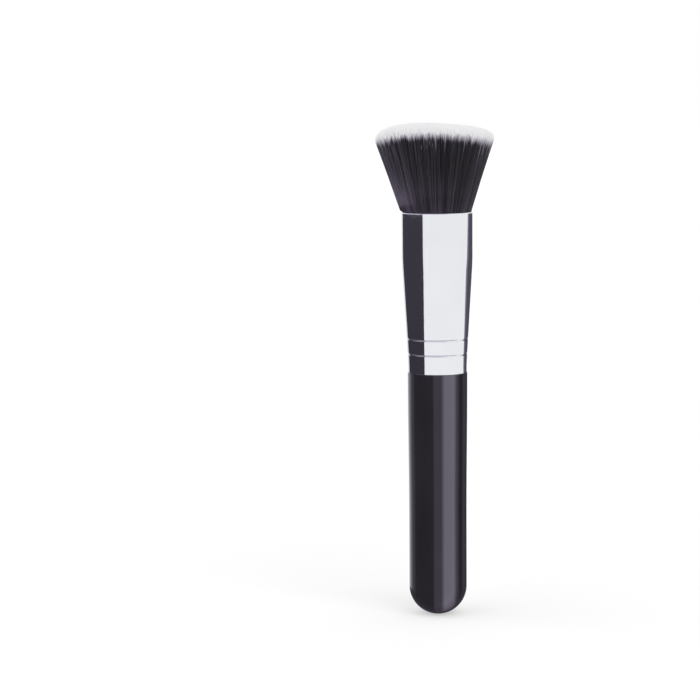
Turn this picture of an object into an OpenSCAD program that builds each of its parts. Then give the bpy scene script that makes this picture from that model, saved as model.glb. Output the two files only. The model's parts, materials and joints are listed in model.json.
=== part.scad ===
// Flat-top foundation brush: turned handle, drawn metal ferrule and a flared head of two-tone bristles.
// The brush stands on the Z axis with its rounded butt at zero and its bristle tips at the top.

/* [Handle] */
// Length of the handle that shows, from the rounded butt to the ferrule
handle_l = 79.6; // [60:0.1:100]
// Diameter of the straight grip and of the rounded butt
grip_d = 18.7; // [15:0.1:21]
// Height at which the straight grip ends and the handle begins to swell
grip_top = 32; // [16:0.5:50]
// Distance by which the shoulder stands out past the ferrule that sits on it
shoulder_step = 0.2; // [0:0.01:0.4]
// Thickness of the lacquer coat
lacquer_t = 0.25; // [0.1:0.01:0.5]
// Length of the wooden tenon inside the ferrule
tenon_l = 16; // [13:0.5:26]
// Chamfer on the end of the tenon
tenon_chamfer = 1; // [0.3:0.1:2]
// Diameter of the lathe centre in the end of the tenon
centre_d = 3; // [1.5:0.1:5]
// Depth of the lathe centre
centre_depth = 2.6; // [1:0.1:5]

/* [Ferrule] */
// Length of the ferrule
ferrule_l = 51.8; // [44:0.1:64]
// Outside diameter of the ferrule at its lower edge
base_d = 18.9; // [16:0.05:22.5]
// Outside diameter of the ferrule at its mouth
mouth_d = 22.8; // [21:0.1:26]
// Thickness of the ferrule's wall
ferrule_t = 0.45; // [0.3:0.01:0.6]
// Length of the straight part above the lower edge
base_l = 0.5; // [0.5:0.5:12]
// Length of the straight part below the mouth
mouth_l = 13.5; // [4:0.5:20]
// Radius of the rolled lip round the mouth
lip_r = 0.33; // [0.25:0.01:0.5]
// Height of the lower crimp groove above the ferrule's lower edge
groove_h = 6; // [3:0.1:7]
// Distance from one crimp groove to the next
groove_pitch = 4.9; // [2:0.1:6]
// Number of crimp grooves
groove_count = 2; // [1:1:2]
// Radius of the wheel that rolls a crimp groove
groove_r = 0.32; // [0.28:0.01:0.7]
// Depth of a crimp groove
groove_depth = 0.2; // [0.1:0.01:0.25]

/* [Bristles] */
// Height of the crown of the bristles above the mouth of the ferrule
hair_h = 28.6; // [22:0.1:40]
// Widest diameter of the flared head
head_d = 38.3; // [32:0.1:46]
// Height of the crown above the widest ring of the head
dome_h = 4.9; // [2:0.1:8]
// Height above the mouth at which the bristles have bulged over the lip
bulge_h = 1.2; // [0.9:0.1:2]
// Distance by which the bulge stands out past the ferrule
bulge_out = 0.2; // [0:0.01:0.25]
// Sideways lean of the head at its widest ring
lean = -0.7; // [-0.8:0.1:0.8]
// Length of the bristle bundle inside the ferrule
root_l = 14; // [10:0.5:20]
// Length of the tapered, undyed tip of a bristle
tip_l = 3.6; // [2:0.1:6]
// Largest difference of a tip from the domed shape
tip_stray = 0.35; // [0:0.05:0.6]
// Number of rings of bristles
rings = 12; // [10:1:12]

/* [Glue and binding] */
// Thickness of the glue film round the tenon
glue_t = 0.2; // [0.1:0.01:0.3]
// Depth of the resin under the bristle roots
resin_h = 3; // [1.5:0.1:6]
// Height of the resin skirt round the bristle roots
skirt_h = 1.2; // [0.5:0.1:1.6]
// Diameter of the binding thread
thread_d = 0.4; // [0.25:0.01:0.5]
// Number of turns of the binding thread
thread_turns = 3; // [2:1:4]
// Gap between neighbouring turns of the thread
thread_gap = 0.45; // [0.42:0.01:0.8]
// Height of the lowest turn above the ends of the roots
thread_h = 1.9; // [1.9:0.1:4]
// Clearance between pieces that are laid in rather than pressed
seat_gap = 0.08; // [0.05:0.01:0.12]
// Room left between the bound roots and the bore, besides the thread
root_slack = 0.4; // [0.34:0.01:0.6]

/* [Hidden] */

// How far a cutting outline runs past what it cuts
cut_over = 1;

// Radii of the turned and drawn pieces
grip_r = grip_d / 2;
base_r = base_d / 2;
shoulder_r = base_r + shoulder_step;
mouth_r = mouth_d / 2;
head_r = head_d / 2;
centre_r = centre_d / 2;
tenon_r = base_r - ferrule_t - glue_t;

// Heights along the brush
tenon_top = handle_l + tenon_l;
mouth_z = handle_l + ferrule_l;
lip_z = mouth_z - lip_r;
flare_bottom = handle_l + base_l;
flare_top = mouth_z - mouth_l;
root_z = mouth_z - root_l;
bulge_z = mouth_z + bulge_h;
crown_z = mouth_z + hair_h;
rim_z = crown_z - dome_h;

// Share of the flare over which its straight cone is eased into either end
flare_soft_share = 0.12;

// Steps of the drawn curves and fineness of round outlines
swell_steps = 16;
flare_steps = 28;
$fn = 96;

// Radii of the bristle bundle at its roots, at the lip and at the bulge over it
root_r = bore_r(root_z) - thread_d - root_slack;
foot_r = mouth_r - 2 * lip_r - seat_gap;
bulge_r = mouth_r + bulge_out;

// Share of its cell that a bristle fills at the bulge and where its tip begins to taper
bulge_share = 0.88;
shoulder_share = 0.86;

// Share of a ring's width by which a bristle may stand off its place, and the seeds of the scatter
wobble_share = 0.2;
wobble_seed = 11;
stray_seed = 7;

// Turns of the thread are drawn with this many steps, and its section with this many sides
thread_steps = 24;
thread_sides = 6;
thread_r = thread_d / 2;
thread_pitch = thread_d + thread_gap;

// Smooth rise from 0 to 1
function ease(t) = let (u = max(0, min(1, t))) u * u * (3 - 2 * u);

// Straight rise from 0 to 1 that is eased over a share of its length at either end
function soft_ramp(t, share) = let (u = max(0, min(1, t)))
    u < share ? u * u / (2 * share * (1 - share))
    : u > 1 - share ? 1 - (1 - u) * (1 - u) / (2 * share * (1 - share))
    : (u - share / 2) / (1 - share);

// Outside radius of the handle at height z
function handle_r(z) = grip_r + (shoulder_r - grip_r) * ease((z - grip_top) / (handle_l - grip_top));

// Outside radius of the ferrule at height z, and the radius of its bore
function ferrule_r(z) = base_r
    + (mouth_r - base_r) * soft_ramp((z - flare_bottom) / (flare_top - flare_bottom), flare_soft_share);
function bore_r(z) = ferrule_r(z) - ferrule_t;

// Heights at which the curve between low and high is drawn
function steps_between(low, high, steps) = [for (i = [0 : steps]) low + (high - low) * i / steps];

// Heights of the crimp grooves
groove_zs = [for (i = [0 : groove_count - 1]) handle_l + groove_h + i * groove_pitch];

// Outline of the handle's round body, inside a coat of the given thickness, on the right of the axis
module handle_outline(coat) {
    intersection() {
        translate([0, grip_r]) circle(r = grip_r - coat);
        square([grip_r, grip_r]);
    }
    polygon([
        [0, grip_r],
        for (z = concat([grip_r], steps_between(grip_top, handle_l, swell_steps))) [handle_r(z) - coat, z],
        [0, handle_l]
    ]);
}

// Discs at the crimp grooves, grown by the given thickness of wall or glue
module groove_discs(grown) {
    for (z = groove_zs)
        translate([ferrule_r(z) + groove_r - groove_depth, z]) circle(r = groove_r + grown);
}

// Outline of the tenon, with its chamfered end and the dents that the crimp grooves press in it
module tenon_outline() {
    difference() {
        polygon([
            [0, handle_l],
            [tenon_r, handle_l],
            [tenon_r, tenon_top - tenon_chamfer],
            [tenon_r - tenon_chamfer, tenon_top],
            [0, tenon_top]
        ]);
        groove_discs(ferrule_t + glue_t);
    }
}

// Outline of the space inside a tube with the ferrule's curve, drawn in by the given thickness
module ferrule_outline(inset, low, high) {
    polygon([
        [0, low],
        [ferrule_r(low) - inset, low],
        for (z = steps_between(flare_bottom, flare_top, flare_steps)) [ferrule_r(z) - inset, z],
        [ferrule_r(high) - inset, high],
        [0, high]
    ]);
}

// Outline of the ferrule's bore, narrowed by the beads that the crimp grooves raise in it
module bore_outline() {
    difference() {
        ferrule_outline(ferrule_t, handle_l - cut_over, mouth_z + cut_over);
        groove_discs(ferrule_t);
    }
}

// Turned wooden core with its tenon and the centre left by the lathe
module handle_core() {
    color("#c8a273") difference() {
        rotate_extrude() {
            handle_outline(lacquer_t);
            tenon_outline();
        }
        translate([0, 0, tenon_top - centre_depth]) cylinder(h = centre_depth, r1 = 0, r2 = centre_r);
    }
}

// Gloss coat over the handle, rounded off at the shoulder by its own thickness
module handle_lacquer() {
    color("#1c1a1f") rotate_extrude() difference() {
        handle_outline(0);
        handle_outline(lacquer_t);
        translate([shoulder_r - lacquer_t, handle_l - lacquer_t]) difference() {
            square([lacquer_t + cut_over, lacquer_t + cut_over]);
            circle(r = lacquer_t);
        }
    }
}

// Film of glue that fills the space between the tenon and the ferrule
module tenon_glue() {
    color("#d8c48c") rotate_extrude() difference() {
        intersection() {
            bore_outline();
            translate([0, handle_l]) square([mouth_r, tenon_l]);
        }
        tenon_outline();
        translate([0, tenon_top - tenon_chamfer]) square([tenon_r, tenon_chamfer + cut_over]);
    }
}

// Drawn metal tube with its crimp grooves and the rolled lip round its mouth
module ferrule() {
    color("#d3d4d8") rotate_extrude() {
        difference() {
            ferrule_outline(0, handle_l, lip_z);
            bore_outline();
            groove_discs(0);
        }
        translate([mouth_r - lip_r, lip_z]) circle(r = lip_r);
    }
}

// Resin poured under the roots, with a thin skirt round them
module root_resin() {
    color("#b98a3e") rotate_extrude() difference() {
        intersection() {
            bore_outline();
            translate([0, root_z - resin_h]) square([mouth_r, resin_h + skirt_h]);
        }
        translate([0, root_z]) square([bundle_r(root_z + skirt_h) + seat_gap, skirt_h + cut_over]);
    }
}

// Radius of the packed bristle bundle at height z below the lip
function bundle_r(z) = root_r + (foot_r - root_r) * (z - root_z) / (lip_z - root_z);

// Centre of the thread after the given number of steps, on a line that winds up the bundle
function thread_z(step) = root_z + thread_h + thread_pitch * step / thread_steps;
function thread_path_r(step) = (bundle_r(thread_z(step)) + seat_gap + thread_r) / cos(180 / thread_steps);
function thread_centre(step) = let (a = 360 * step / thread_steps, r = thread_path_r(step))
    [r * cos(a), r * sin(a), thread_z(step)];

// Section of the thread at one step: a ring of points in the plane through the axis
function thread_ring(step) = let (a = 360 * step / thread_steps, c = thread_centre(step))
    [for (i = [0 : thread_sides - 1]) let (b = 360 * i / thread_sides)
        c + thread_r * [cos(b) * cos(a), cos(b) * sin(a), sin(b)]];

// Faces of a tube made of rings of points, with its two ends closed
function tube_faces(rings_n, sides) = concat(
    [for (k = [0 : rings_n - 2], i = [0 : sides - 1]) let (j = (i + 1) % sides)
        each [
            [k * sides + i, k * sides + j, (k + 1) * sides + j],
            [k * sides + i, (k + 1) * sides + j, (k + 1) * sides + i]
        ]],
    [for (i = [1 : sides - 2]) [0, i + 1, i]],
    [for (i = [1 : sides - 2]) let (e = (rings_n - 1) * sides) [e, e + i, e + i + 1]]
);

thread_rings = [for (step = [0 : thread_steps * thread_turns]) thread_ring(step)];
thread_least_gap = min([for (step = [0 : thread_steps * (thread_turns - 1)])
    norm(thread_centre(step + thread_steps) - thread_centre(step)) - thread_d]);
echo(thread_least_gap = thread_least_gap);

// Thread wound round the bundle just above its roots
module binding_thread() {
    color("#e8e2d4") polyhedron(
        points = [for (ring = thread_rings) each ring],
        faces = tube_faces(len(thread_rings), thread_sides)
    );
}

// The bristles stand on a round lattice: ring k has 6k points, and every second cell carries a bristle.
// Number of point j on ring k among the lattice's points
lattice_n = 1 + 3 * rings * (rings + 1);
function lattice_id(k, j) = k == 0 ? 0 : 1 + 3 * k * (k - 1) + j % (6 * k);

// Place of that point in the unit disc, scattered a little except on the outermost ring
wobbles = rands(-wobble_share, wobble_share, 2 * lattice_n, wobble_seed);
function wobble(id) = [wobbles[2 * id], wobbles[2 * id + 1]] / rings;
function lattice(k, j) = k / rings * (k == 0 ? [0, 0] : [cos(60 * j / k), sin(60 * j / k)])
    + (k < rings ? wobble(lattice_id(k, j)) : [0, 0]);

// Cells that carry a bristle: ring, first outer point and inner point
cells = [for (k = [1 : rings], s = [0 : 5], i = [0 : k - 1]) [k, s * k + i, s * (k - 1) + i]];
function cell_corners(c) = [lattice(c[0], c[1]), lattice(c[0], c[1] + 1), lattice(c[0] - 1, c[2])];
function middle(corners) = (corners[0] + corners[1] + corners[2]) / 3;

// Radius and sideways shift of the head at height z
function spread_r(z) = z <= lip_z ? bundle_r(z)
    : z <= bulge_z ? foot_r + (bulge_r - foot_r) * (z - lip_z) / (bulge_z - lip_z)
    : bulge_r + (head_r - bulge_r) * (z - bulge_z) / (rim_z - bulge_z);
function lean_x(z) = lean * max(0, z - bulge_z) / (rim_z - bulge_z);

// Point of the unit disc carried to height z
function carried(p, z) = [lean_x(z) + spread_r(z) * p[0], spread_r(z) * p[1], z];

// Section of one bristle at height z, drawn in towards the middle of its cell
function bristle_ring(corners, share, z) = let (m = middle(corners))
    [for (p = corners) carried(m + share * (p - m), z)];

// Height of a tip on the domed crown
function dome_z(corners) = let (r = norm(middle(corners))) rim_z + dome_h * sqrt(1 - r * r);
strays = rands(-1, 1, len(cells), stray_seed);

// Points of one bristle above the lattice: at the bulge, where the tip begins and at its end
function bristle_points(n) = let (
        corners = cell_corners(cells[n]),
        tip_z = dome_z(corners) + tip_stray * strays[n]
    )
    concat(
        bristle_ring(corners, bulge_share, bulge_z),
        bristle_ring(corners, shoulder_share, tip_z - tip_l),
        [carried(middle(corners), tip_z)]
    );

// The points run: lattice on the bundle's top, ring of its root end, middle of that end, then the bristles
edge_n = 6 * rings;
root_id = lattice_n + edge_n;
bristle_id = root_id + 1;
bristle_n = 7;

bristle_head_points = concat(
    [for (k = [0 : rings], j = [0 : max(1, 6 * k) - 1]) carried(lattice(k, j), lip_z)],
    [for (j = [0 : edge_n - 1]) carried(lattice(rings, j), root_z)],
    [carried([0, 0], root_z)],
    [for (n = [0 : len(cells) - 1]) each bristle_points(n)]
);

// Faces between two rings of three points, the first below the second
function wall_faces(low, high) = [for (i = [0 : 2]) let (j = (i + 1) % 3)
    each [[low[i], high[i], high[j]], [low[i], high[j], low[j]]]];

// Faces of one bristle, which grows from the corners of its cell
function bristle_faces(n) = let (
        c = cells[n],
        first = bristle_id + n * bristle_n,
        foot = [lattice_id(c[0], c[1]), lattice_id(c[0], c[1] + 1), lattice_id(c[0] - 1, c[2])],
        bulge = [first, first + 1, first + 2],
        shoulder = [first + 3, first + 4, first + 5],
        tip = first + 6
    )
    concat(
        wall_faces(foot, bulge),
        wall_faces(bulge, shoulder),
        [for (i = [0 : 2]) [shoulder[i], tip, shoulder[(i + 1) % 3]]]
    );

// Faces of the cells that carry no bristle
bare_cell_faces = [for (k = [2 : rings], s = [0 : 5], i = [0 : k - 2])
    [lattice_id(k, s * k + i + 1), lattice_id(k - 1, s * (k - 1) + i), lattice_id(k - 1, s * (k - 1) + i + 1)]];

// Faces of the bundle's side and of its root end
bundle_faces = [for (j = [0 : edge_n - 1]) let (
        low = lattice_n + j,
        low_next = lattice_n + (j + 1) % edge_n,
        high = lattice_id(rings, j),
        high_next = lattice_id(rings, j + 1)
    )
    each [[low, high, high_next], [low, high_next, low_next], [root_id, low, low_next]]];

// Bristles packed into one bundle inside the ferrule and splayed out above its lip
module bristles() {
    color("#28242b") polyhedron(
        points = bristle_head_points,
        faces = concat(bare_cell_faces, bundle_faces, [for (n = [0 : len(cells) - 1]) each bristle_faces(n)])
    );
}

handle_core();
handle_lacquer();
tenon_glue();
ferrule();
root_resin();
binding_thread();
bristles();
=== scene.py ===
"""The looks of the flat-top brush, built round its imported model.

Lengths are in metres unless a name says otherwise. An azimuth is 0 on the camera's side and grows towards
the right."""

import json
import math

import bpy
import numpy as np
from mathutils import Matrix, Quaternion, Vector


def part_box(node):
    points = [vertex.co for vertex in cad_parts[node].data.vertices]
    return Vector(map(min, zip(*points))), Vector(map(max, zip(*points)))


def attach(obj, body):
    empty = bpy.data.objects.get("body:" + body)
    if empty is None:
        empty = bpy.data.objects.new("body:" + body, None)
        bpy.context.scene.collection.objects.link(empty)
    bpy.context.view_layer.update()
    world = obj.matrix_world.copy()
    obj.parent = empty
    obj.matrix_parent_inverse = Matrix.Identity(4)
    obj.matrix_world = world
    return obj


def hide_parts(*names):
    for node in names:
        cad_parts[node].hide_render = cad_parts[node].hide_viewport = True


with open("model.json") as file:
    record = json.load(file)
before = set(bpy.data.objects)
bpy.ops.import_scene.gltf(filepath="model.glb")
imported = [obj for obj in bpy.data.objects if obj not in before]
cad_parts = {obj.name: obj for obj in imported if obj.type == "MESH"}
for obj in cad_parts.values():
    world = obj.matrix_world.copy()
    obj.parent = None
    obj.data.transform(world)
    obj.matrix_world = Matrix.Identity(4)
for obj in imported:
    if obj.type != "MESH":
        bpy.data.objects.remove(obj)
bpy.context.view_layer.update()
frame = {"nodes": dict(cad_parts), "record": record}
nodes = frame["nodes"]
mounts = {mount["name"]: mount for mount in frame["record"]["mounts"]}
MM = 0.001


def mount_ends(name):
    """Heights of the low and the high end of an upright mount."""
    middle = mounts[name]["pos_m"][2]
    half = mounts[name]["dims"]["length_mm"] * MM / 2
    return middle - half, middle + half


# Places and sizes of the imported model

ferrule_low, ferrule_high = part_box("ferrule")
head_low, head_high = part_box("bristles")
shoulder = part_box("handle_lacquer")[1]
GRIP_R = mounts["handle_grip"]["dims"]["r_mm"] * MM
GRIP_TOP = mount_ends("handle_grip")[1]
# The ferrule's foot is this much slimmer than the shoulder that it stands on
SHOULDER_STEP = 0.2 * MM
FOOT_Z = ferrule_low.z
FOOT_R = shoulder.x - SHOULDER_STEP
# It is straight between its flare and the middle of its rolled lip
FLARE_TOP, LIP_Z = mount_ends("ferrule_collar")
MOUTH_Z = ferrule_high.z
MOUTH_R = ferrule_high.x
LIP_R = MOUTH_Z - LIP_Z


# Camera, placed so that the brush lies in the frame as in the photograph

PHOTO_SIDE_PX = 700
SENSOR_MM = 36
FOCAL_PX = 2328.1
CAMERA_PLACE = (0, -0.750, 0.1675)
PAN = math.radians(2.162)
PITCH = math.radians(6.139)
ROLL = math.radians(0.397)
CLIP_NEAR = 0.01
CLIP_FAR = 50


def add_object(name, data):
    """Links a new object to the scene."""
    made = bpy.data.objects.new(name, data)
    bpy.context.scene.collection.objects.link(made)
    return made


def make_camera():
    """A long lens a little above the tips.

    It is turned down and to the left, so that the brush stands right of the middle."""
    data = bpy.data.cameras.new("camera")
    data.sensor_width = SENSOR_MM
    data.lens = SENSOR_MM * FOCAL_PX / PHOTO_SIDE_PX
    data.clip_start = CLIP_NEAR
    data.clip_end = CLIP_FAR
    camera = add_object("camera", data)
    forward = Vector((
        -math.sin(PAN) * math.cos(PITCH),
        math.cos(PAN) * math.cos(PITCH),
        -math.sin(PITCH),
    ))
    camera.rotation_mode = "QUATERNION"
    camera.rotation_quaternion = forward.to_track_quat("-Z", "Y") @ Quaternion((0, 0, 1), -ROLL)
    camera.location = CAMERA_PLACE
    bpy.context.scene.camera = camera


# Shader nodes

# The Mix node's colour sockets share their names with others, so they are told by their places
MIX_FIRST = 6
MIX_SECOND = 7
MIX_RESULT = 2


def node(tree, kind, inputs=None, **settings):
    """Adds a shader node. A value in inputs is a plain value, or the output socket to link."""
    made = tree.nodes.new(kind)
    for name, value in settings.items():
        setattr(made, name, value)
    for name, value in (inputs or {}).items():
        if isinstance(value, bpy.types.NodeSocket):
            tree.links.new(value, made.inputs[name])
        else:
            made.inputs[name].default_value = value
    return made


def empty_tree(data):
    """The node tree of a material or a world, cleared of its nodes."""
    data.use_nodes = True
    data.node_tree.nodes.clear()
    return data.node_tree


def arithmetic(tree, operation, *values):
    """The result of an operation on one or two values, each plain or an output socket."""
    made = node(tree, "ShaderNodeMath", dict(enumerate(values)), operation=operation)
    return made.outputs["Value"]


def ramp(tree, value, stops):
    """A colour ramp over value, with stops of (position, colour)."""
    made = node(tree, "ShaderNodeValToRGB", {"Fac": value})
    elements = made.color_ramp.elements
    while len(elements) < len(stops):
        elements.new(0.5)
    for element, (position, colour) in zip(elements, stops):
        element.position = position
        element.color = (*colour, 1)
    return made.outputs["Color"]


def span(tree, value, low, high):
    """Maps value from 0..1 to low..high."""
    made = node(tree, "ShaderNodeMapRange", {"Value": value, "To Min": low, "To Max": high})
    return made.outputs["Result"]


def rise(tree, value, start, end, shape="LINEAR"):
    """Maps value from start..end to 0..1."""
    made = node(tree, "ShaderNodeMapRange", {
        "Value": value, "From Min": start, "From Max": end,
    }, interpolation_type=shape)
    return made.outputs["Result"]


def noise(tree, per_metre, detail=2.0, roughness=0.5):
    """Noise over the object's own coordinates, with per_metre as its scale along x, y and z."""
    place = node(tree, "ShaderNodeTexCoord").outputs["Object"]
    scaled = node(tree, "ShaderNodeMapping", {"Vector": place, "Scale": per_metre})
    made = node(tree, "ShaderNodeTexNoise", {
        "Vector": scaled.outputs["Vector"],
        "Scale": 1.0,
        "Detail": detail,
        "Roughness": roughness,
    })
    return made.outputs["Fac"]


def mix(tree, share, first, second):
    """A colour between first and second."""
    made = node(tree, "ShaderNodeMix", {
        "Factor": share, MIX_FIRST: first, MIX_SECOND: second,
    }, data_type="RGBA")
    return made.outputs[MIX_RESULT]


def bump(tree, height, depth):
    """A normal from a height of 0..1 that stands for depth metres."""
    made = node(tree, "ShaderNodeBump", {"Height": height, "Distance": depth, "Strength": 1.0})
    return made.outputs["Normal"]


# Materials

# How deep the relief of each finish is
PEEL_DEPTH = 0.0025 * MM
MOP_RING_DEPTH = 0.0004 * MM
GRAIN_DEPTH = 0.02 * MM
CAST_DEPTH = 0.03 * MM
TWIST_DEPTH = 0.04 * MM


def material(name, **sockets):
    """A material with a Principled shader whose plain sockets are set by name.

    Returns it with its tree and shader."""
    made = bpy.data.materials.new(name)
    made.use_nodes = True
    shader = made.node_tree.nodes["Principled BSDF"]
    for socket, value in sockets.items():
        shader.inputs[socket.replace("_", " ")].default_value = value
    return made, made.node_tree, shader


def lacquer_material():
    """Thick black gloss: a deep base under a clear coat with faint orange peel and polishing haze."""
    made, tree, shader = material(
        "black_lacquer", IOR=1.5, Coat_Weight=1.0, Coat_Roughness=0.03, Coat_IOR=1.5,
    )
    depth = noise(tree, per_metre=(90, 90, 40), detail=3)
    colour = ramp(tree, depth, [(0.3, (0.009, 0.008, 0.0105)), (0.7, (0.0155, 0.0138, 0.0182))])
    haze = noise(tree, per_metre=(700, 700, 160), detail=4, roughness=0.6)
    peel = noise(tree, per_metre=(520, 520, 420), detail=2)
    tree.links.new(colour, shader.inputs["Base Color"])
    tree.links.new(span(tree, haze, 0.10, 0.22), shader.inputs["Roughness"])
    tree.links.new(bump(tree, peel, PEEL_DEPTH), shader.inputs["Coat Normal"])
    return made


def ferrule_material():
    """Polished aluminium: fine rings left by the polishing mop, and a little drift in tone and haze."""
    made, tree, shader = material("polished_aluminium", Metallic=1.0)
    drift = noise(tree, per_metre=(60, 60, 60), detail=3)
    colour = ramp(tree, drift, [(0.3, (0.765, 0.780, 0.812)), (0.7, (0.800, 0.815, 0.848))])
    rings = noise(tree, per_metre=(40, 40, 9000), detail=3, roughness=0.6)
    haze = noise(tree, per_metre=(300, 300, 1500), detail=4, roughness=0.6)
    tree.links.new(colour, shader.inputs["Base Color"])
    tree.links.new(span(tree, haze, 0.03, 0.10), shader.inputs["Roughness"])
    tree.links.new(bump(tree, rings, MOP_RING_DEPTH), shader.inputs["Normal"])
    return made


def wood_material():
    """Pale close-grained hardwood, with the grain along the handle."""
    made, tree, shader = material("beech")
    grain = noise(tree, per_metre=(900, 900, 30), detail=5, roughness=0.65)
    colour = ramp(tree, grain, [
        (0.3, (0.55, 0.36, 0.19)),
        (0.6, (0.74, 0.55, 0.34)),
        (0.8, (0.80, 0.64, 0.44)),
    ])
    tree.links.new(colour, shader.inputs["Base Color"])
    tree.links.new(span(tree, grain, 0.45, 0.70), shader.inputs["Roughness"])
    tree.links.new(bump(tree, grain, GRAIN_DEPTH), shader.inputs["Normal"])
    return made


def cast_material(name, dark, light, rough):
    """Set glue or resin, with a cloudy tone and haze and a slightly wavy surface.

    rough is its least roughness."""
    made, tree, shader = material(name, Coat_Weight=0.3)
    cloud = noise(tree, per_metre=(350, 350, 350), detail=3)
    tree.links.new(ramp(tree, cloud, [(0.3, dark), (0.7, light)]), shader.inputs["Base Color"])
    tree.links.new(span(tree, cloud, rough, rough + 0.2), shader.inputs["Roughness"])
    tree.links.new(bump(tree, cloud, CAST_DEPTH), shader.inputs["Normal"])
    return made


def thread_material():
    """Waxed cotton thread, with the lie of its fibres as a fine bump."""
    made, tree, shader = material("waxed_thread", Sheen_Weight=0.3)
    twist = noise(tree, per_metre=(2500, 2500, 6000), detail=3)
    colour = ramp(tree, twist, [(0.3, (0.66, 0.62, 0.52)), (0.7, (0.88, 0.85, 0.77))])
    tree.links.new(colour, shader.inputs["Base Color"])
    tree.links.new(span(tree, twist, 0.6, 0.9), shader.inputs["Roughness"])
    tree.links.new(bump(tree, twist, TWIST_DEPTH), shader.inputs["Normal"])
    return made


BAKE_MAP = "OFBake"
# The bristles' map has a column for each of these tones of black, whose spread is a painted sheen
TONES = 64
# Its height stands for this length back from a tip
BRISTLE_SPAN = 30 * MM
# A tip's white and its fade take this length, divided by a number in this range that differs with the tone
TIP_SPAN = 3 * MM
TIP_SPAN_DIVISORS = (0.9, 1.15)
# Where a painted sheen starts to lighten the dye towards the ferrule and where it is full, as shares of the
# map's height from the tip
PAINTED_SHEEN_SHARES = (0.35, 0.85)
# Where the tip's colours start to fade into the dye and where it is all dye, as shares of a tip's length
DYED_SHARES = (0.6, 0.9)


def bristle_material():
    """Dyed synthetic bristle, dark with a white tip.

    It reads only the map, where v runs along a bristle to its tip."""
    made, tree, shader = material("two_tone_bristle", IOR=1.53, Roughness=0.42)
    place = node(tree, "ShaderNodeUVMap", uv_map=BAKE_MAP).outputs["UV"]
    axes = node(tree, "ShaderNodeSeparateXYZ", {"Vector": place}).outputs
    column = arithmetic(tree, "FLOOR", arithmetic(tree, "MULTIPLY", axes["X"], TONES))
    tone = arithmetic(tree, "DIVIDE", column, TONES)
    chance = node(tree, "ShaderNodeTexWhiteNoise", {"W": column}, noise_dimensions="1D")
    # Shares of a bristle back from its tip, and the same as shares of the tip's length
    back = arithmetic(tree, "SUBTRACT", 1.0, axes["Y"])
    tips_in_map = [divisor * BRISTLE_SPAN / TIP_SPAN for divisor in TIP_SPAN_DIVISORS]
    from_tip = arithmetic(tree, "MULTIPLY", back, span(tree, chance.outputs["Value"], *tips_in_map))
    tip = ramp(tree, from_tip, [
        (0.00, (0.955, 0.955, 0.965)),
        (0.25, (0.945, 0.945, 0.955)),
        (0.33, (0.79, 0.78, 0.83)),
        (0.45, (0.57, 0.55, 0.62)),
        (0.57, (0.34, 0.31, 0.38)),
        (0.71, (0.13, 0.11, 0.15)),
        (0.90, (0.022, 0.018, 0.028)),
    ])
    # The black dye, lighter or darker by tone: painted sheen
    dye_tones_and_sheen = ramp(tree, tone, [
        (0.0, (0.005, 0.0043, 0.0073)),
        (0.5, (0.0098, 0.008, 0.0135)),
        (0.9, (0.028, 0.0225, 0.036)),
    ])
    # A lighter copy of the dye, laid on the bristles' lower part near the ferrule: painted sheen
    painted_low_sheen = ramp(tree, tone, [
        (0.0, (0.026, 0.021, 0.033)),
        (0.5, (0.053, 0.043, 0.067)),
        (0.9, (0.110, 0.090, 0.132)),
    ])
    # The dye with its painted sheen, which also grows lighter towards the ferrule
    dye_and_sheen = mix(tree, rise(tree, back, *PAINTED_SHEEN_SHARES), dye_tones_and_sheen, painted_low_sheen)
    colour = mix(tree, rise(tree, from_tip, *DYED_SHARES, shape="SMOOTHSTEP"), tip, dye_and_sheen)
    tree.links.new(colour, shader.inputs["Base Color"])
    return made


def dress(name, made):
    """Gives a CAD node its material."""
    mesh = nodes[name].data
    mesh.materials.clear()
    mesh.materials.append(made)


# Points and directions

def points_at(x, y, z):
    """Points from their coordinates, each spread to the shape of all three."""
    return np.stack(np.broadcast_arrays(x, y, z), axis=-1)


def around(radius, azimuth, z):
    """Points round the brush's axis."""
    return points_at(radius * np.sin(azimuth), -radius * np.cos(azimuth), z)


def unit(vectors):
    """Vectors brought to length 1."""
    return vectors / np.linalg.norm(vectors, axis=-1, keepdims=True)


# Form of the head

ROOT_Z = head_low.z
# The crown of the cut lies this far below the highest strand of the CAD head
CROWN_GAP = 0.42 * MM
CROWN_Z = head_high.z - CROWN_GAP
# The hair's outline: straight up in the throat, out to its bulge over the lip, then up to its rim
THROAT_GAP = 0.08 * MM
THROAT_R = MOUTH_R - 2 * LIP_R - THROAT_GAP
BULGE_RISE = 0.6 * MM
BULGE_Z = MOUTH_Z + BULGE_RISE
BULGE_OVERHANG = 0.12 * MM
BULGE_R = MOUTH_R + BULGE_OVERHANG
RIM_DEPTH = 4.9 * MM
RIM_Z = CROWN_Z - RIM_DEPTH
RIM_R = 19.17 * MM
# It leans this far along x at its bulge and at its rim
BULGE_LEAN = -0.38 * MM
RIM_LEAN = -0.86 * MM
# Past the rim the flare runs straight on, as far again as from the bulge to the rim
FAR_Z = 2 * RIM_Z - BULGE_Z
FAR_R = 2 * RIM_R - BULGE_R
FAR_LEAN = 2 * RIM_LEAN - BULGE_LEAN
# The cut's rim below the crown, how far it rises at the front and back and on the right, and its skew
RIM_DROP = 5.45 * MM
FRONT_RISE = 2.65 * MM
RIGHT_RISE = 0.52 * MM
RIM_SKEW = 0.5 * MM
# The crown lies a little to the left of the middle
CROWN_TILT = 0.9 * MM
DOME_POWER = 2.1


def bundle_radius(z):
    """Outer radius of the hair at a height."""
    lip_top_r = MOUTH_R - LIP_R
    heights = [LIP_Z, MOUTH_Z, BULGE_Z, RIM_Z, FAR_Z]
    return np.interp(z, heights, [THROAT_R, lip_top_r, BULGE_R, RIM_R, FAR_R])


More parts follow.
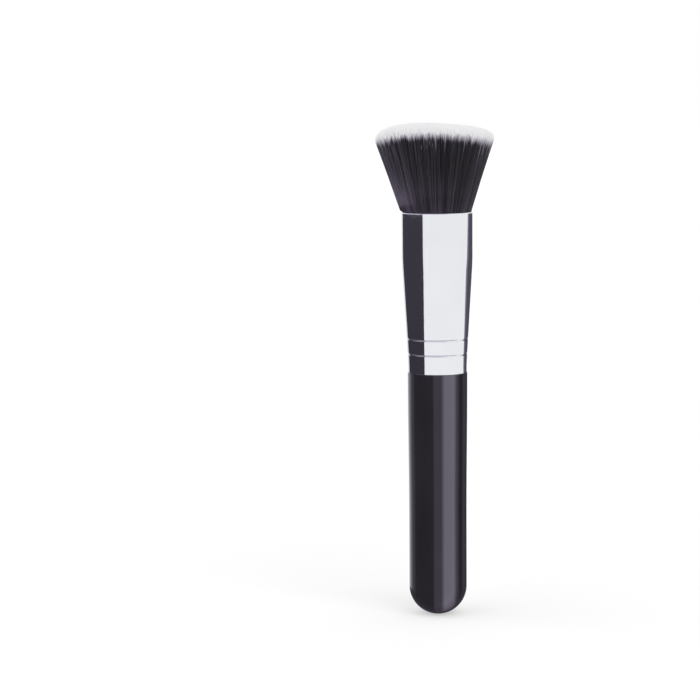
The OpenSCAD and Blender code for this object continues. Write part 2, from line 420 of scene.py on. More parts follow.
def lean(z):
    """How far the hair leans along x at a height."""
    return np.interp(z, [MOUTH_Z, BULGE_Z, RIM_Z, FAR_Z], [0, BULGE_LEAN, RIM_LEAN, FAR_LEAN])


def hair_points(share, azimuth, z):
    """Points of the leaning bundle of hair, at shares of its radius."""
    points = around(share * bundle_radius(z), azimuth, z)
    points[..., 0] += lean(z)
    return points


def tip_height(share, azimuth):
    """Height of the domed cut, for a bristle at a share of the radius."""
    side = np.sin(azimuth)
    front = np.cos(azimuth) ** 2
    drop = RIM_DROP - FRONT_RISE * front - RIGHT_RISE * side + RIM_SKEW * np.sin(2 * azimuth)
    dome = 1 - (1 - share ** DOME_POWER) ** (1 / DOME_POWER)
    return CROWN_Z - drop * dome - CROWN_TILT * side * share * (1 - share ** 2)


# Bristles

SEED = 7
# Share of the hair's radius that the core and the top bristles fill
CORE_SHARE = 0.87
# Share of it outside which the side bristles stand
SIDE_SHARE = 0.86
# How far the core's top lies below the cut
CORE_DEPTH = 3.0 * MM
BRISTLE_R = 0.07 * MM
# The cap at a tube's foot is one triangle, which suits three sides
TUBE_SIDES = 3
# Keeps an upright bristle's sides from having no direction
NUDGE = 1e-9
# Share of a tone's column in the map that stays free at each side
COLUMN_EDGE_SHARE = 0.02
# The part of the map's height that is in use
MAP_ENDS = (0.002, 0.998)
# How many tips are compared with the middles of all clumps in one go, to save memory
TIPS_AT_ONCE = 2000


def map_height(back):
    """Height in the bristles' map for a length back from the tip."""
    return np.clip(1 - back / BRISTLE_SPAN, *MAP_ENDS)


def mapped_mesh(name, points, faces, places):
    """A mesh whose map has a place for each corner of each face."""
    mesh = bpy.data.meshes.new(name)
    mesh.from_pydata(points, [], faces)
    layer = mesh.uv_layers.new(name=BAKE_MAP)
    layer.data.foreach_set("uv", np.array(places, np.float32).ravel())
    mesh.update()
    return mesh


def add_piece(name, mesh, made):
    """Adds a mesh as a piece that rides on the brush."""
    piece = add_object(name, mesh)
    mesh.materials.append(made)
    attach(piece, "root")
    return piece


def tube_points(centres, radii, roll):
    """Corners of the rings of tubes along rows of centres, and then their tips."""
    count, rings = radii.shape
    body = rings - 1
    along = unit(np.gradient(centres, axis=1))
    across = unit(np.cross(along, (0, 0, 1)) + (NUDGE, 0, 0))
    other = np.cross(along, across)
    angle = roll[:, None, None] + np.arange(TUBE_SIDES) * (2 * math.pi / TUBE_SIDES)
    outward = (np.cos(angle)[..., None] * across[:, :body, None, :]
               + np.sin(angle)[..., None] * other[:, :body, None, :])
    corners = centres[:, :body, None, :] + outward * radii[:, :body, None, None]
    return np.concatenate([corners.reshape(count, body * TUBE_SIDES, 3), centres[:, body:, :]], axis=1)


def tube_faces(body):
    """Triangles of one tube with body rings and a tip: a cap at its foot, its sides and its point.

    Returns each triangle's corners, their shares of the way across a column of the map, and their rings."""
    corners = [(0, 2, 1)]
    shares = [(0.0, 0.5, 1.0)]
    rings = [(0, 0, 0)]
    last = body - 1
    for level in range(body):
        for side in range(TUBE_SIDES):
            low = level * TUBE_SIDES + side
            next_low = level * TUBE_SIDES + (side + 1) % TUBE_SIDES
            left, middle, right = side / TUBE_SIDES, (side + 0.5) / TUBE_SIDES, (side + 1) / TUBE_SIDES
            high, next_high = low + TUBE_SIDES, next_low + TUBE_SIDES
            if level == last:
                corners.append((low, next_low, body * TUBE_SIDES))
                shares.append((left, right, middle))
                rings.append((last, last, body))
            else:
                corners += [(low, next_low, next_high), (low, next_high, high)]
                shares += [(left, right, right), (left, right, left)]
                rings += [(level, level, level + 1), (level, level + 1, level + 1)]
    return np.array(corners), np.array(shares), np.array(rings)


def tube_mesh(name, centres, radii, v, tone, roll):
    """Tapered tubes along rows of centres, each closed by a cap and a pointed tip.

    centres is (count, rings, 3), radii and v are (count, rings), and tone and roll have one value a tube.
    The last ring is the tip's point."""
    points = tube_points(centres, radii, roll)
    count, corners_each = points.shape[:2]
    corners, shares, rings = tube_faces(radii.shape[1] - 1)
    faces = (np.arange(count)[:, None, None] * corners_each + corners).reshape(-1, 3)
    across = COLUMN_EDGE_SHARE + (1 - 2 * COLUMN_EDGE_SHARE) * shares
    u = (tone[:, None, None] + across) / TONES
    mesh = mapped_mesh(name, points.reshape(-1, 3), faces, np.stack([u, v[:, rings]], axis=-1))
    mesh.polygons.foreach_set("use_smooth", np.ones(len(faces), bool))
    return mesh


def bristle_paths(share, azimuth, z, bend):
    """Centre lines at the heights z: straight rays of the flare, with a bend that grows towards the tip."""
    paths = hair_points(share[:, None], azimuth[:, None], z)
    grown = np.clip((z - MOUTH_Z) / (RIM_Z - MOUTH_Z), 0, None) ** 2
    paths[..., :2] += bend[:, None, :] * grown[..., None]
    return paths


def clump_pull(azimuth, share, random, count, pull):
    """Pull of each tip towards the middle of its clump, as (x, y), with the clump's number.

    pull is the share of the way that it takes."""
    middle_share = np.sqrt(random.uniform(share.min() ** 2, share.max() ** 2, count))
    middle_azimuth = random.uniform(-math.pi, math.pi, count)
    middles = around(middle_share, middle_azimuth, 0)[:, :2]
    tips = around(share, azimuth, 0)[:, :2]
    nearest = np.empty(len(tips), int)
    for start in range(0, len(tips), TIPS_AT_ONCE):
        part = slice(start, start + TIPS_AT_ONCE)
        gap = ((tips[part, None] - middles) ** 2).sum(axis=2)
        nearest[part] = gap.argmin(axis=1)
    return (middles[nearest] - tips) * RIM_R * pull, nearest


def add_bristles(name, pieces, azimuth, tubes, made):
    """Adds bristles as pieces that are sectors of the head.

    tubes is all that tube_mesh takes after its name."""
    for number, part in enumerate(np.array_split(np.argsort(azimuth), pieces), 1):
        piece_name = f"{name}_{number}"
        mesh = tube_mesh(piece_name, *(values[part] for values in tubes))
        add_piece(piece_name, mesh, made)


# Side bristles, which show along their whole length

SIDE_COUNT = 9000
SIDE_PIECES = 3
# They start this far down in the ferrule's mouth
SIDE_ROOTED = 0.8 * MM
# Their rings in the mouth, and the rest as shares of the way from the bulge to the tip
SIDE_FOOT = [MOUTH_Z - SIDE_ROOTED, LIP_Z, MOUTH_Z, BULGE_Z]
SIDE_STEP_SHARES = np.array([0.25, 0.5, 0.75, 0.95, 1])
SIDE_TAPER_SHARES = np.array([1, 1, 1, 1, 1, 0.98, 0.95, 0.88, 0.35])
SIDE_THICKNESS_SHARES = (0.85, 1.15)
# Their tips draw together in this many clumps, by this share of the way
SIDE_CLUMPS = 700
SIDE_PULL_SHARE = 0.24
# How widely they scatter in height and sideways
SIDE_RAGGED = 0.10 * MM
SIDE_BEND = 0.14 * MM
# A clump may stand lower than the cut by up to this
CLUMP_DROP = 0.22 * MM
# Shares by which a clump's white, and one bristle's own, may reach further down or less far
CLUMP_WHITE_SHARE = 0.16
WHITE_SCATTER_SHARE = 0.12
# It reaches further down by this share in front, and by twice as much on the right
WHITE_SKEW_SHARE = 0.15
# Share of a bristle's tone that is its clump's, so that whole clumps are lighter or darker: painted sheen.
# The rest is its own
CLUMP_SHEEN_SHARE = 0.5
# A few bristles in the outermost share of the radius are short, and have lost this much of their white
SHORT_CHANCE = 0.012
SHORT_DROP = (1 * MM, 4.5 * MM)
SHORT_DEPTH_SHARE = 0.02
SHORT_GREY = 1.2 * MM
# A few keep a grey streak, which starts this far from the tip and goes on into the dye at a slower pace
STREAK_CHANCE = 0.045
STREAK_START = 1.75 * MM
STREAK_PACE_SHARES = (0.06, 0.28)


def side_map_height(random, back, white, short):
    """Heights in the map for lengths back from the tip.

    white tells how far each bristle's white runs down, with 1 as the plain length."""
    back[short] += SHORT_GREY
    back /= white[:, None]
    streak = random.random(len(back)) < STREAK_CHANCE
    pace = random.uniform(*STREAK_PACE_SHARES, streak.sum())[:, None]
    back[streak] = np.minimum(back[streak], STREAK_START + (back[streak] - STREAK_START) * pace)
    return map_height(back)


def side_tone(random, clump):
    """The tone of each side bristle, partly its clump's and partly its own, a painted sheen."""
    clump_sheen = random.random(SIDE_CLUMPS)[clump]
    own_tone = random.random(SIDE_COUNT)
    return np.floor((CLUMP_SHEEN_SHARE * clump_sheen + (1 - CLUMP_SHEEN_SHARE) * own_tone) * TONES)


def side_bristles(random, made):
    """Long bristles of the outer layers, from inside the lip up to the cut, a few of them short."""
    share = np.sqrt(random.uniform(SIDE_SHARE ** 2, 1, SIDE_COUNT))
    azimuth = random.uniform(-math.pi, math.pi, SIDE_COUNT)
    pull, clump = clump_pull(azimuth, share, random, SIDE_CLUMPS, SIDE_PULL_SHARE)
    clump_white = random.uniform(-CLUMP_WHITE_SHARE, CLUMP_WHITE_SHARE, SIDE_CLUMPS)[clump]
    clump_drop = random.uniform(0, CLUMP_DROP, SIDE_CLUMPS)[clump]
    tip_z = tip_height(share, azimuth) - clump_drop + random.normal(0, SIDE_RAGGED, SIDE_COUNT)
    short = random.random(SIDE_COUNT) < SHORT_CHANCE
    tip_z[short] -= random.uniform(*SHORT_DROP, short.sum())
    share = np.where(short, 1 - SHORT_DEPTH_SHARE * random.random(SIDE_COUNT), share)
    bend = pull + random.normal(0, SIDE_BEND, (SIDE_COUNT, 2))
    foot = np.broadcast_to(SIDE_FOOT, (SIDE_COUNT, len(SIDE_FOOT)))
    z = np.concatenate([foot, BULGE_Z + (tip_z[:, None] - BULGE_Z) * SIDE_STEP_SHARES], axis=1)
    path = bristle_paths(share, azimuth, z, bend)
    thickness = random.uniform(*SIDE_THICKNESS_SHARES, SIDE_COUNT)[:, None]
    white = 1 + clump_white + random.uniform(-WHITE_SCATTER_SHARE, WHITE_SCATTER_SHARE, SIDE_COUNT)
    white += WHITE_SKEW_SHARE * (1 + np.sin(azimuth))
    v = side_map_height(random, tip_z[:, None] - z, white, short)
    tone = side_tone(random, clump)
    roll = random.uniform(0, 2 * math.pi, SIDE_COUNT)
    tubes = (path, BRISTLE_R * SIDE_TAPER_SHARES * thickness, v, tone, roll)
    add_bristles("side_bristles", SIDE_PIECES, azimuth, tubes, made)


# Top bristles, which show only at the cut

TOP_COUNT = 18000
TOP_PIECES = 2
# They start this far inside the core, and their rings are shares of the way from there to the tip
TOP_ROOTED = 0.4 * MM
TOP_STEP_SHARES = np.array([0, 0.4, 0.75, 1])
TOP_TAPER_SHARES = np.array([1, 0.95, 0.8, 0.2])
TOP_THICKNESS_SHARES = (0.9, 1.15)
TOP_CLUMPS = 900
TOP_PULL_SHARE = 0.16
TOP_RAGGED = 0.11 * MM
TOP_BEND = 0.12 * MM
# A length back from the tip counts for this share in the map, so that they stay white down to the core
TOP_WHITE_SHARE = 0.15


def top_bristles(random, made):
    """Bristles that show only at the domed top, from inside the core up to the cut."""
    share = np.sqrt(random.uniform(0, CORE_SHARE ** 2, TOP_COUNT))
    azimuth = random.uniform(-math.pi, math.pi, TOP_COUNT)
    pull, _ = clump_pull(azimuth, share, random, TOP_CLUMPS, TOP_PULL_SHARE)
    cut_z = tip_height(share, azimuth)
    tip_z = cut_z + random.normal(0, TOP_RAGGED, TOP_COUNT)
    foot_z = cut_z - CORE_DEPTH - TOP_ROOTED
    bend = pull + random.normal(0, TOP_BEND, (TOP_COUNT, 2))
    z = foot_z[:, None] + (tip_z - foot_z)[:, None] * TOP_STEP_SHARES
    path = bristle_paths(share, azimuth, z, bend)
    thickness = random.uniform(*TOP_THICKNESS_SHARES, TOP_COUNT)[:, None]
    v = map_height(TOP_WHITE_SHARE * (tip_z[:, None] - z))
    tone = random.integers(0, TONES, TOP_COUNT)
    roll = random.uniform(0, 2 * math.pi, TOP_COUNT)
    tubes = (path, BRISTLE_R * TOP_TAPER_SHARES * thickness, v, tone, roll)
    add_bristles("top_bristles", TOP_PIECES, azimuth, tubes, made)


# Core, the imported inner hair, fluted like the hair round it

CORE_AROUND = 720
CORE_FLUTES = 180
CORE_FLUTE_SHARE = 0.006
CORE_UNEVEN_SHARE = 0.004
CORE_SIDE_RINGS = 12
CORE_TOP_RINGS = 14
CORE_MIDDLE_SHARE = 0.02
# The width of its faces in the map, the height of its foot's cap there, and how tall its top's cap is
CORE_MAP_WIDTH = 0.9 / TONES
CORE_FOOT_V = 0.01
CORE_CAP_V = 0.001


def core_rings(random):
    """Rings of the core from its roots up and in over its top, with the height of each in the map."""
    turn = np.arange(CORE_AROUND) / CORE_AROUND * 2 * math.pi
    flutes = CORE_FLUTE_SHARE * (1 + np.cos(turn * CORE_FLUTES))
    wave = 1 - flutes - CORE_UNEVEN_SHARE * random.random(CORE_AROUND)
    rings = []
    heights = []
    for z in [ROOT_Z, LIP_Z, *np.linspace(BULGE_Z, RIM_Z - CORE_DEPTH, CORE_SIDE_RINGS)]:
        in_throat = z < MOUTH_Z
        rings.append(hair_points(1.0 if in_throat else CORE_SHARE * wave, turn, z))
        heights.append(map_height(tip_height(CORE_SHARE, 0.0) - z))
    for share in np.linspace(CORE_SHARE, CORE_MIDDLE_SHARE, CORE_TOP_RINGS):
        rings.append(hair_points(share * wave, turn, tip_height(share, turn) - CORE_DEPTH))
        heights.append(map_height(TOP_WHITE_SHARE * CORE_DEPTH))
    return rings, heights


def core_faces(heights):
    """Faces of the core between its rings and over both ends, with their places in the map.

    heights has the height of each ring in the map."""
    faces = []
    places = []
    after = [(i + 1) % CORE_AROUND for i in range(CORE_AROUND)]
    for level, (v, v_above) in enumerate(zip(heights, heights[1:])):
        low = level * CORE_AROUND
        high = low + CORE_AROUND
        for i, j in enumerate(after):
            left = (i % TONES) / TONES
            right = left + CORE_MAP_WIDTH
            faces.append((low + i, low + j, high + j, high + i))
            places += [(left, v), (right, v), (right, v_above), (left, v_above)]
    foot = len(heights) * CORE_AROUND
    last = foot - CORE_AROUND
    top_v = heights[-1]
    for i, j in enumerate(after):
        faces.append((j, i, foot))
        places += [(CORE_MAP_WIDTH, CORE_FOOT_V), (0, CORE_FOOT_V), (0, 2 * CORE_FOOT_V)]
    for i, j in enumerate(after):
        faces.append((last + i, last + j, foot + 1))
        places += [(0, top_v), (CORE_MAP_WIDTH, top_v), (0, top_v + CORE_CAP_V)]
    return faces, places


def bristle_core(random, made):
    """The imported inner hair, one closed solid from the roots to just under the tips."""
    rings, heights = core_rings(random)
    foot_middle = (0, 0, ROOT_Z)
    top_middle = (lean(CROWN_Z), 0, CROWN_Z - CORE_DEPTH)
    points = np.concatenate([*rings, [foot_middle, top_middle]])
    mesh = mapped_mesh("bristle_core", points.tolist(), *core_faces(heights))
    core = add_piece("bristle_core", mesh, made)
    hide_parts("bristles")


# Studio

FLOOR_R = 12.0
FLOOR_CORNERS = 128
FLOOR_ALBEDO = 0.8
# What the camera sees is a greyer paint, for a soft shadow, with a glow that brings it up to this level
SEEN_FLOOR_ALBEDO = 0.45
SEEN_FLOOR_LEVEL = 1.02
# Light from all round, as irradiance over pi
AMBIENT = 0.45
SUNS = [
    # name, azimuth and elevation in degrees, irradiance over pi, softness in degrees
    ("key", 30, 38, 0.47, 50),
    ("fill", -70, 34, 0.41, 80),
    ("top", 160, 75, 0.20, 60),
]


def seen_directly(tree):
    """1 for camera, glossy and transmission rays, 0 for the rays that light the object."""
    rays = node(tree, "ShaderNodeLightPath").outputs
    seen = arithmetic(tree, "MAXIMUM", rays["Is Camera Ray"], rays["Is Glossy Ray"])
    return arithmetic(tree, "MAXIMUM", seen, rays["Is Transmission Ray"])


def finish_tree(tree, output, lighting, seen):
    """Ends a tree that shows one shader directly and lights the object with the other."""
    mixed = node(tree, "ShaderNodeMixShader", {0: seen_directly(tree), 1: lighting, 2: seen})
    node(tree, output, {"Surface": mixed.outputs["Shader"]})


def make_world():
    """White where it is seen or mirrored, and a plain grey light for everything else."""
    world = bpy.data.worlds.new("studio")
    bpy.context.scene.world = world
    tree = empty_tree(world)
    light = node(tree, "ShaderNodeBackground", {"Color": (1, 1, 1, 1), "Strength": AMBIENT})
    white = node(tree, "ShaderNodeBackground", {"Color": (1, 1, 1, 1), "Strength": 1.0})
    finish_tree(tree, "ShaderNodeOutputWorld", light.outputs["Background"], white.outputs["Background"])


def make_floor():
    """A pale floor that meets the white background without an edge and shows the brush's soft shadow."""
    bpy.ops.mesh.primitive_circle_add(vertices=FLOOR_CORNERS, radius=FLOOR_R, fill_type="NGON")
    floor = bpy.context.object
    floor.name = "floor"
    made = bpy.data.materials.new("pale_floor")
    tree = empty_tree(made)
    lit = AMBIENT + sum(level * math.sin(math.radians(up)) for _, _, up, level, _ in SUNS)
    paint = node(tree, "ShaderNodeBsdfDiffuse", {"Color": (FLOOR_ALBEDO,) * 3 + (1,)})
    seen = node(tree, "ShaderNodeBsdfDiffuse", {"Color": (SEEN_FLOOR_ALBEDO,) * 3 + (1,)})
    glow = node(tree, "ShaderNodeEmission", {"Strength": SEEN_FLOOR_LEVEL - SEEN_FLOOR_ALBEDO * lit})
    both = node(tree, "ShaderNodeAddShader", {0: seen.outputs["BSDF"], 1: glow.outputs["Emission"]})
    finish_tree(tree, "ShaderNodeOutputMaterial", paint.outputs["BSDF"], both.outputs["Shader"])
    floor.data.materials.append(made)


def make_lamps():
    """Soft parallel lamps, which light the floor alike near and far, and which the gloss doesn't mirror."""
    for name, azimuth, up, level, softness in SUNS:
        data = bpy.data.lights.new(name, "SUN")
        data.energy = level * math.pi
        data.angle = math.radians(softness)
        lamp = add_object(name, data)
        elevation = math.radians(up)
        back = around(math.cos(elevation), math.radians(azimuth), math.sin(elevation))
        lamp.rotation_mode = "QUATERNION"
        lamp.rotation_quaternion = Vector(back).to_track_quat("Z", "Y")
        lamp.visible_glossy = False


# Cards that only the gloss sees

CARD_LIGHT = "light"
CARD_TINT = (0.85, 0.76, 0.99)
STRIP_TINT = (0.83, 0.81, 0.93)
WHITE_TINT = (0.97, 0.97, 1.0)
# A card laid for a whole form stops at this share of its half width, short of its grazing edge
CARD_EDGE_SHARE = 0.999
# A ray that rises is taken to fall by this little, so that a wall stops it first
LEAST_FALL = 1e-6


def gloss_card(name, places, light, tint=CARD_TINT):
    """A card that only the gloss sees.

    places is (rows, columns, 3), and light is how bright it is at each place.
    tint is a colour for all of it, or one for each column."""
    rows, columns = light.shape
    corner = np.arange(rows * columns).reshape(rows, columns)
    faces = np.stack([corner[:-1, :-1], corner[:-1, 1:], corner[1:, 1:], corner[1:, :-1]], -1)
    mesh = bpy.data.meshes.new(name)
    mesh.from_pydata(places.reshape(-1, 3).tolist(), [], faces.reshape(-1, 4).tolist())
    colour = np.ones((rows, columns, 4))
    colour[..., :3] = light[..., None] * np.array(tint)
    layer = mesh.attributes.new(CARD_LIGHT, "FLOAT_COLOR", "POINT")
    layer.data.foreach_set("color", colour.astype(np.float32).ravel())
    card = add_object(name, mesh)
    made = bpy.data.materials.new(name)
    tree = empty_tree(made)
    level = node(tree, "ShaderNodeAttribute", attribute_name=CARD_LIGHT).outputs["Color"]
    glow = node(tree, "ShaderNodeEmission", {"Color": level})
    node(tree, "ShaderNodeOutputMaterial", {"Surface": glow.outputs["Emission"]})
    # Reached by mirrored rays alone, so that a near card hides a far one
    made.cycles.emission_sampling = "NONE"
    mesh.materials.append(made)
    card.visible_camera = False
    card.visible_diffuse = False
    card.visible_transmission = False
    card.visible_shadow = False


def landing(points, normals, wall_r, floor_z):
    """Where the camera's sight lines land once the gloss has mirrored them at points.

    They land on a round wall, or on the floor before it."""
    sight = unit(points - np.array(CAMERA_PLACE))
    ray = sight - 2 * (sight * normals).sum(axis=2, keepdims=True) * normals
    across = (ray[..., :2] ** 2).sum(axis=2)
    outward = (points[..., :2] * ray[..., :2]).sum(axis=2)
    inside = (points[..., :2] ** 2).sum(axis=2) - wall_r ** 2
    to_wall = (np.sqrt(outward ** 2 - across * inside) - outward) / across
    fall = np.maximum(-ray[..., 2], LEAST_FALL)
    to_floor = np.maximum(points[..., 2] - floor_z, 0) / fall
    return points + ray * np.minimum(to_wall, to_floor)[..., None]


def turned_side(shares, heights, radii):
    """Points and normals on the near side of a turned form.

    shares, of its half width, run from -1 at its left edge to 1 at its right."""
    slope = np.gradient(radii, heights)[:, None]
    depth = -np.sqrt(1 - shares ** 2)
    points = points_at(shares * radii[:, None], depth * radii[:, None], heights[:, None])
    return points, unit(points_at(shares, depth, -slope))


def butt_side(shares, turns, radius):
    """Points and normals on the near side of the round butt.

    They lie on lines that keep their x, at turns down from its widest place."""
    reach = np.sqrt(1 - shares ** 2) * radius
    turn = turns[:, None]
    from_middle = points_at(shares * radius, -reach * np.cos(turn), -reach * np.sin(turn))
    return from_middle + (0, 0, radius), from_middle / radius


def profile(shares, stops):
    """Brightness at shares of the way across a form or a card, from stops of (share, brightness)."""
    places, levels = zip(*stops)
    return np.interp(shares, places, levels)


# Card of the handle, a bowl round it

HANDLE_CARD_R = 13 * MM
# The bowl's floor lies this far above the real one
HANDLE_CARD_FLOOR = 0.15 * MM
HANDLE_CARD_COLUMNS = 161
HANDLE_CARD_ROWS = 25
# From left to right: a strip of light, a gap, a dim front, a pale step, a soft box, a gap and a faint edge
HANDLE_LIGHT = [
    (-1.00, 0.88), (-0.955, 0.76), (-0.92, 0.60), (-0.885, 0.36), (-0.855, 0.26), (-0.80, 0.26),
    (-0.775, 0.10), (-0.73, 0.10),
    (-0.17, 0.13),
    (-0.10, 0.50), (0.12, 0.50),
    (0.24, 1.84), (0.55, 1.84), (0.585, 1.30), (0.61, 0.85), (0.65, 0.50), (0.69, 0.40), (0.72, 0.18),
    (0.75, 0.08), (0.80, 0.05),
    (0.84, 0.12), (0.875, 0.20), (0.92, 0.14), (0.96, 0.07), (1.00, 0.05),
]
# The strip of light, left of this share, has its own tint
STRIP_SHARE = -0.78
# The butt is covered from its widest place down to this turn
BUTT_TURN = math.radians(80)
# Its light fades to a shade between these two shares of its radius, as seen from the front
BUTT_LIT_SHARE = 0.52
BUTT_DARK_SHARE = 0.87
BUTT_SHADE = 0.10
# The shading starts at the widest place, and is full where the turn's sine times this is 1
BUTT_SHADE_GAIN = 3


def shade_butt(light, butt, turns):
    """Dims the first rows of light, which are those of the butt, towards its rounded end."""
    rim_share = np.hypot(butt[..., 0], GRIP_R - butt[..., 2]) / GRIP_R
    shade = np.clip((rim_share - BUTT_LIT_SHARE) / (BUTT_DARK_SHARE - BUTT_LIT_SHARE), 0, 1)
    shade *= np.clip(np.sin(turns) * BUTT_SHADE_GAIN, 0, 1)[:, None]
    rows = slice(len(turns))
    light[rows] += (BUTT_SHADE - light[rows]) * shade


def close_behind(places, light):
    """Joins a card's left and right edges behind the brush, at the mean of their light."""
    reach = np.hypot(places[:, :1, 0], places[:, :1, 1])
    behind = around(reach, math.pi, places[:, :1, 2])
    behind_light = (light[:, :1] + light[:, -1:]) / 2
    closed_places = np.concatenate([behind, places, behind], axis=1)
    closed_light = np.concatenate([behind_light, light, behind_light], axis=1)
    return closed_places, closed_light


def handle_card():
    """The card round the handle, a bowl that closes behind the brush."""
    shares = np.linspace(-CARD_EDGE_SHARE, CARD_EDGE_SHARE, HANDLE_CARD_COLUMNS)[None, :]
    turns = np.linspace(BUTT_TURN, 0, HANDLE_CARD_ROWS)[:-1]
    butt, butt_normals = butt_side(shares, turns, GRIP_R)
    heights = np.linspace(GRIP_R, shoulder.z, HANDLE_CARD_ROWS)
    climb = np.clip((heights - GRIP_TOP) / (shoulder.z - GRIP_TOP), 0, 1)
    swell = climb * climb * (3 - 2 * climb)
    body, body_normals = turned_side(shares, heights, GRIP_R + (shoulder.x - GRIP_R) * swell)
    places = landing(
        np.concatenate([butt, body]), np.concatenate([butt_normals, body_normals]),
        HANDLE_CARD_R, HANDLE_CARD_FLOOR,
    )
    light = np.repeat(profile(shares, HANDLE_LIGHT), len(places), axis=0)
    shade_butt(light, butt, turns)
    places, light = close_behind(places, light)
    in_strip = np.concatenate([[-1], shares[0], [1]])[:, None] < STRIP_SHARE
    gloss_card("handle_card", places, light, np.where(in_strip, STRIP_TINT, CARD_TINT))


# Cards of the ferrule, beside its bright panel

FERRULE_CARD_R = 60 * MM
# So far down that every sight line lands on the wall
FERRULE_CARD_FLOOR = -1.0
FERRULE_CARD_COLUMNS = 41
FERRULE_CARD_ROWS = 15
# Their second row is laid for this height above the ferrule's foot
FERRULE_CARD_START = 1 * MM
# They reach this far below what the photograph's camera sees mirrored in the foot
FERRULE_CARD_SKIRT = 11 * MM
# Where the strip along the left rim ends and where the panel starts and ends, at shares of the height
PANEL_HEIGHT_SHARES = (0.0, 0.63, 1.0)
RIM_STRIP_SHARES = (-0.955, -0.962, -0.968)
PANEL_LEFT_SHARES = (-0.436, -0.388, -0.400)
PANEL_RIGHT_SHARES = (0.883, 0.820, 0.862)
RIM_STRIP_LIGHT = 0.85
# The left card is a little darker at the foot than from the middle up
FERRULE_LEFT_LIGHT = [(0, 0.050), (0.5, 0.059)]
# The right card darkens away from the panel
FERRULE_RIGHT_LIGHT = [(0, 0.40), (0.35, 0.108)]


def ferrule_cards():
    """A pale strip along the ferrule's left rim, and dark cards on both sides of its bright panel."""
    rows = np.linspace(FOOT_Z + FERRULE_CARD_START, FLARE_TOP, FERRULE_CARD_ROWS)
    heights = np.array([FOOT_Z, *rows, MOUTH_Z])
    radii = np.interp(heights, [FOOT_Z, FLARE_TOP], [FOOT_R, MOUTH_R])
    height_shares = ((heights - FOOT_Z) / (MOUTH_Z - FOOT_Z))[:, None]
    across = np.linspace(0, 1, FERRULE_CARD_COLUMNS)[None, :]

    def edge(shares):
        return np.interp(height_shares, PANEL_HEIGHT_SHARES, shares)

    strip_end = edge(RIM_STRIP_SHARES)
    panel_left = edge(PANEL_LEFT_SHARES)
    panel_right = edge(PANEL_RIGHT_SHARES)
    left_light = profile(height_shares, FERRULE_LEFT_LIGHT)
    right_light = profile(across, FERRULE_RIGHT_LIGHT)
    for name, left, right, light, tint in (
        ("ferrule_card_rim", -CARD_EDGE_SHARE, strip_end, RIM_STRIP_LIGHT, WHITE_TINT),
        ("ferrule_card_left", strip_end, panel_left, left_light, CARD_TINT),
        ("ferrule_card_right", panel_right, CARD_EDGE_SHARE, right_light, CARD_TINT),
    ):
        points, normals = turned_side(left + (right - left) * across, heights, radii)
        places = landing(points, normals, FERRULE_CARD_R, FERRULE_CARD_FLOOR)
        skirt = places[:1] - (0, 0, FERRULE_CARD_SKIRT)
        levels = np.broadcast_to(light, places.shape[:2])
        gloss_card(name, np.concatenate([skirt, places]), np.concatenate([levels[:1], levels]), tint)


# Cards of the grooves, whose lower halves look up in front, and whose upper halves look down on the left

GROOVE_CARD_COLUMNS = 25
GROOVE_CARD_ROWS = 13
GROOVE_CARDS = [
    # name, distance, azimuths in degrees, angles above the ferrule's foot, light
    ("groove_card_high", 400 * MM, (-130, 40), (12, 75), 0.76),
    ("groove_card_low", 70 * MM, (-150, -52), (-70, -15), 0.62),
]


def groove_cards():
    """Cards that the grooves mirror, so that they show as thin lines: dark on the panel, pale beside it."""
    for name, far, azimuths, rises, light in GROOVE_CARDS:
        azimuth = np.radians(np.linspace(*azimuths, GROOVE_CARD_COLUMNS))[None, :]
        up = np.radians(np.linspace(*rises, GROOVE_CARD_ROWS))[:, None]
        places = around(far * np.cos(up), azimuth, FOOT_Z + far * np.sin(up))
        gloss_card(name, places, np.full(places.shape[:2], light))


# Cards of the head, with rows of distance, first and last azimuth in degrees, height and light

RING_CARD_COLUMNS = 33
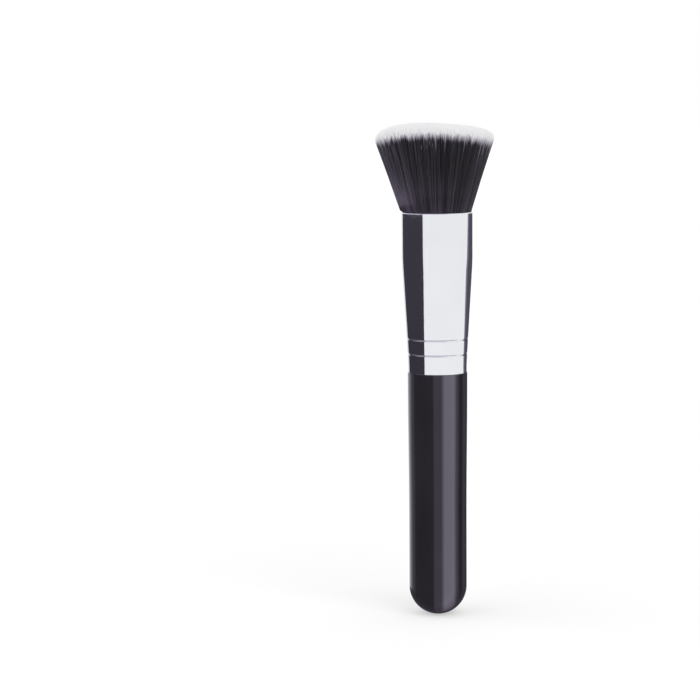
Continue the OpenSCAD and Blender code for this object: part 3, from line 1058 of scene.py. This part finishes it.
# In front, just above the floor, where the splayed bristles would mirror it
FRONT_CARD = [
    (62 * MM, -50, 90, 1 * MM, 0.03),
    (160 * MM, -50, 90, 1 * MM, 0.03),
]
# On the left, a bright sheet that starts at the mouth and lies just above what the ferrule mirrors
SIDE_CARD = [
    (14 * MM, -150, -35, MOUTH_Z + 0.7 * MM, 2.9),
    (24 * MM, -150, -45, MOUTH_Z + 0.4 * MM, 3.5),
    (45 * MM, -150, -62, MOUTH_Z - 0.2 * MM, 3.6),
    (150 * MM, -150, -68, MOUTH_Z - 3.0 * MM, 3.0),
]
# Its underside, a card this far below it, is only as bright as this
SIDE_CARD_GAP = 0.3 * MM
SIDE_CARD_UNDER = 0.9


def ring_card(name, rows, tint=CARD_TINT):
    """A card that is a part of a ring round the brush."""
    far, first, last, height, light = np.array(rows).T[:, :, None]
    azimuth = np.radians(first + (last - first) * np.linspace(0, 1, RING_CARD_COLUMNS))
    gloss_card(name, around(far, azimuth, height), np.broadcast_to(light, azimuth.shape), tint)


def head_cards():
    """A dark card in front, which keeps the middle of the head black, and a bright one on its left.

    The bright one is dimmer from below."""
    ring_card("head_card_front", FRONT_CARD)
    ring_card("head_card_left", SIDE_CARD)
    under = [(*row[:3], row[3] - SIDE_CARD_GAP, SIDE_CARD_UNDER) for row in SIDE_CARD]
    ring_card("head_card_left_under", under, WHITE_TINT)


make_camera()

dress("handle_lacquer", lacquer_material())
dress("handle_core", wood_material())
dress("ferrule", ferrule_material())
dress("tenon_glue", cast_material("set_glue", (0.66, 0.56, 0.36), (0.82, 0.74, 0.52), rough=0.3))
dress("root_resin", cast_material("root_resin", (0.45, 0.28, 0.09), (0.66, 0.46, 0.20), rough=0.15))
dress("binding_thread", thread_material())

bristle = bristle_material()
draws = np.random.default_rng(SEED)
bristle_core(draws, bristle)
side_bristles(draws, bristle)
top_bristles(draws, bristle)

make_world()
make_floor()
make_lamps()
handle_card()
ferrule_cards()
groove_cards()
head_cards()

scene = bpy.context.scene
scene.view_settings.view_transform = "Standard"
